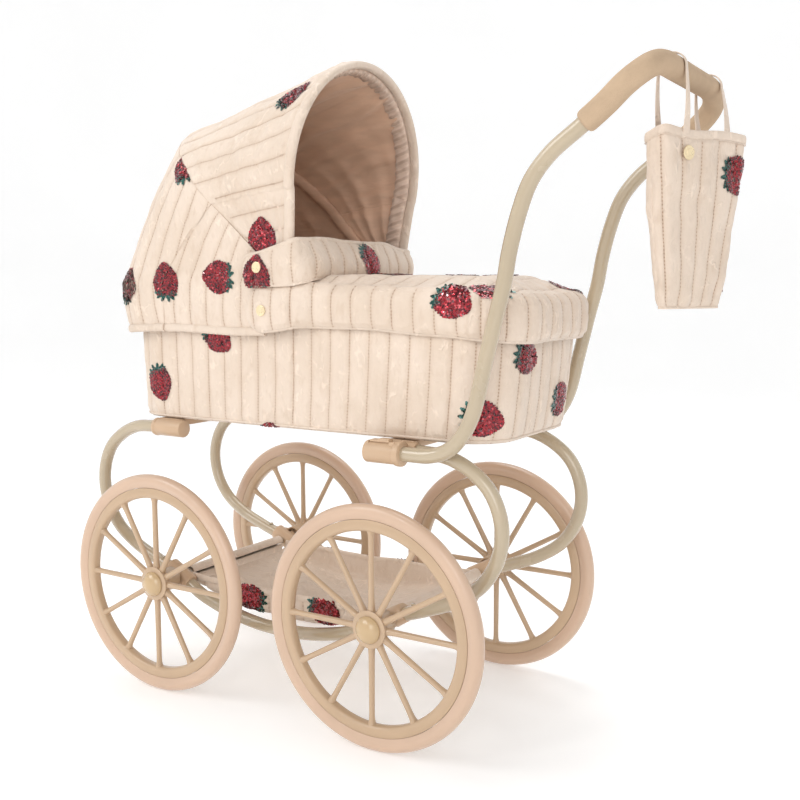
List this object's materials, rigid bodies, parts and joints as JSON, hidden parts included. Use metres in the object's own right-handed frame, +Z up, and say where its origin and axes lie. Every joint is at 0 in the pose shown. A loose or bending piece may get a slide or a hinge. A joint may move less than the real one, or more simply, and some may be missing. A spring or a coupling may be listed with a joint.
{
  "type": "doll pram",
  "caption": "Doll pram: quilted carrycot with folding hood, apron and windbreak flap on a bent-tube chassis with spoked wheels, push handle, fabric basket and hanging bag.",
  "frame": {"origin": "on the floor, under the middle of the pram's plan box", "axes": "+X towards the push handle, +Y across to the right-hand wheels, +Z up"},
  "size_m": [0.7828, 0.323, 0.765],
  "materials": {
    "painted_tube": "glossy beige powder coat",
    "wheel_plastic": "satin moulded",
    "tyre": "satin",
    "cap_plastic": "glossy domed",
    "clamp_plastic": "fine moulded grain",
    "foam": "matt foam",
    "steel": "zinc plated",
    "quilt": "channel-quilted cotton with sequin fruit motifs",
    "webbing": "folded cotton tape",
    "snap": "polished pale gold",
    "board": "raw board"
  },
  "bodies": {
    "chassis": {"side_frame_left": "painted_tube", "side_frame_right": "painted_tube", "bearing_front_left": "clamp_plastic", "bearing_front_right": "clamp_plastic", "bearing_rear_left": "clamp_plastic", "bearing_rear_right": "clamp_plastic", "front_axle": "steel", "rear_axle": "steel", "front_clamp_left": "clamp_plastic", "front_clamp_right": "clamp_plastic", "rear_clamp_left": "clamp_plastic", "rear_clamp_right": "clamp_plastic", "front_crossbar": "clamp_plastic", "rear_crossbar": "clamp_plastic", "basket_fabric": "quilt", "basket_snap_front_left": "snap", "basket_snap_front_right": "snap", "basket_snap_rear_left": "snap", "basket_snap_rear_right": "snap"},
    "latch_left": {"handle_latch_left": "clamp_plastic"},
    "latch_right": {"handle_latch_right": "clamp_plastic"},
    "front_left_wheel": {"wheel_front_left": "wheel_plastic", "tyre_front_left": "tyre", "hub_cap_front_left": "cap_plastic"},
    "front_right_wheel": {"wheel_front_right": "wheel_plastic", "tyre_front_right": "tyre", "hub_cap_front_right": "cap_plastic"},
    "rear_left_wheel": {"wheel_rear_left": "wheel_plastic", "tyre_rear_left": "tyre", "hub_cap_rear_left": "cap_plastic"},
    "rear_right_wheel": {"wheel_rear_right": "wheel_plastic", "tyre_rear_right": "tyre", "hub_cap_rear_right": "cap_plastic"},
    "handle": {"handle_tube": "painted_tube", "handle_grip": "foam"},
    "bag": {"bag_body": "quilt", "bag_strap_left": "webbing", "bag_strap_right": "webbing", "bag_snap": "snap"},
    "carrycot": {"cot_body": "quilt", "cot_base_board": "board", "mattress": "quilt", "hood_skirt": "quilt", "hood_bracket_left": "clamp_plastic", "hood_bracket_right": "clamp_plastic", "hood_pin_left": "steel", "hood_pin_right": "steel"},
    "hood_middle": {"hood_middle_bow": "steel", "hood_back_panel": "quilt"},
    "hood_front": {"hood_front_bow": "steel", "hood_front_panel": "quilt"},
    "apron_body": {"apron": "quilt", "apron_snap_left": "snap", "apron_snap_right": "snap"},
    "flap_body": {"windbreak_flap": "quilt", "flap_snap_left": "snap", "flap_snap_right": "snap"}
  },
  "joints": [
    {"name": "front_left_wheel_spin", "type": "hinge", "parent": "chassis", "child": "front_left_wheel", "pos_m": [-0.2506, -0.148, 0.135], "axis": [0, 1, 0], "continuous": true},
    {"name": "front_right_wheel_spin", "type": "hinge", "parent": "chassis", "child": "front_right_wheel", "pos_m": [-0.2506, 0.148, 0.135], "axis": [0, 1, 0], "continuous": true},
    {"name": "rear_left_wheel_spin", "type": "hinge", "parent": "chassis", "child": "rear_left_wheel", "pos_m": [0.0674, -0.148, 0.135], "axis": [0, 1, 0], "continuous": true},
    {"name": "rear_right_wheel_spin", "type": "hinge", "parent": "chassis", "child": "rear_right_wheel", "pos_m": [0.0674, 0.148, 0.135], "axis": [0, 1, 0], "continuous": true},
    {"name": "latch_left_press", "type": "slide", "parent": "chassis", "child": "latch_left", "axis": [0, 0, -1], "range_m": [0, 0.002], "stiffness_N_per_m": 200, "springref_m": -0.001},
    {"name": "latch_right_press", "type": "slide", "parent": "chassis", "child": "latch_right", "axis": [0, 0, -1], "range_m": [0, 0.002], "stiffness_N_per_m": 200, "springref_m": -0.001},
    {"name": "handle_pull", "type": "slide", "parent": "chassis", "child": "handle", "axis": [1, 0, 0], "range_m": [0, 0.042]},
    {"name": "bag_swing", "type": "hinge", "parent": "handle", "child": "bag", "pos_m": [0.3459, 0, 0.702], "axis": [0, 1, 0], "range_deg": [-15, 15]},
    {"name": "carrycot_lift", "type": "slide", "parent": "chassis", "child": "carrycot", "axis": [0, 0, 1], "range_m": [0, 0.06]},
    {"name": "hood_middle_fold", "type": "hinge", "parent": "carrycot", "child": "hood_middle", "pos_m": [-0.0716, 0, 0.503], "axis": [0, -1, 0], "range_deg": [0, 32], "deforming": ["hood_back_panel"]},
    {"name": "hood_front_fold", "type": "hinge", "parent": "hood_middle", "child": "hood_front", "pos_m": [-0.0716, 0, 0.503], "axis": [0, -1, 0], "range_deg": [0, 44], "deforming": ["hood_front_panel"]},
    {"name": "apron_lift", "type": "slide", "parent": "carrycot", "child": "apron_body", "axis": [0, 0, 1], "range_m": [0, 0.05]},
    {"name": "flap_fold", "type": "hinge", "parent": "apron_body", "child": "flap_body", "pos_m": [-0.0294, 0, 0.5078], "axis": [0, 1, 0], "range_deg": [0, 60]}
  ],
  "couplings": [
    {"joint": "hood_front_fold", "follows": "hood_middle_fold", "ratio": 1.375}
  ]
}
